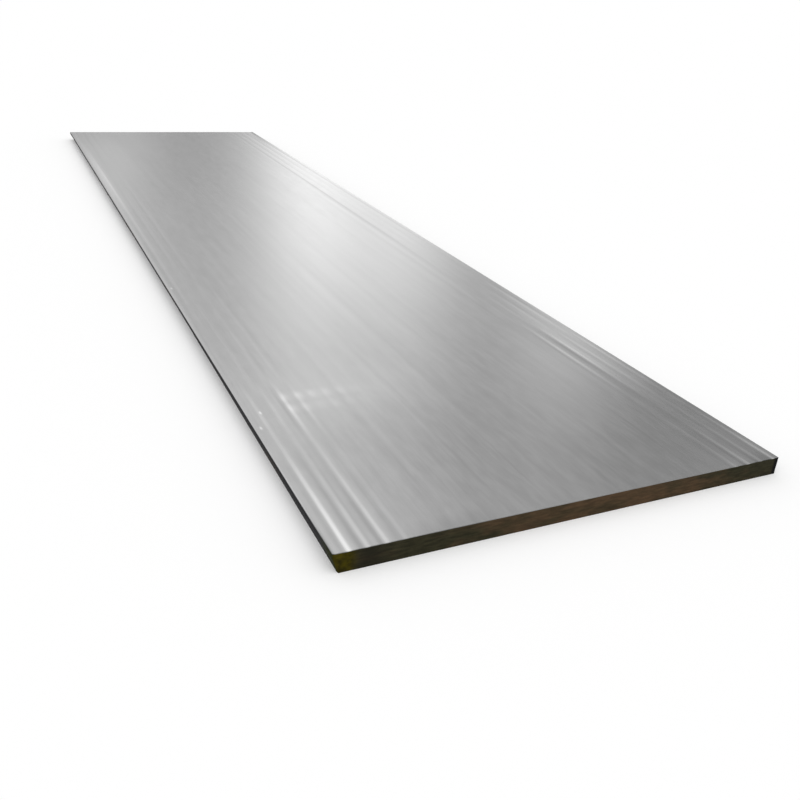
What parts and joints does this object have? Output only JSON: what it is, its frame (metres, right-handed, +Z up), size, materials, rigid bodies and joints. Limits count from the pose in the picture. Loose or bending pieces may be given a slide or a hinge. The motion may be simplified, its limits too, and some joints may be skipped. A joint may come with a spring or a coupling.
{
  "type": "steel plate",
  "caption": "Flat rectangular hot-rolled steel plate with shallow roll lines beside its long edges, a sheared edge and square cut ends: raw stock for cutting, welding and machining.",
  "frame": {"origin": "middle of the underside, which lies on the floor", "axes": "+X across the width, +Y along the length from the near cut end to the far one, +Z up through the thickness"},
  "size_m": [1.5, 6, 0.06],
  "materials": {
    "plate_steel": "satin pickled steel with lengthwise grain on the faces, dark brown scale and rust on the cut ends and long edges"
  },
  "bodies": {
    "root": {"steel_plate": "plate_steel"}
  },
  "joints": []
}
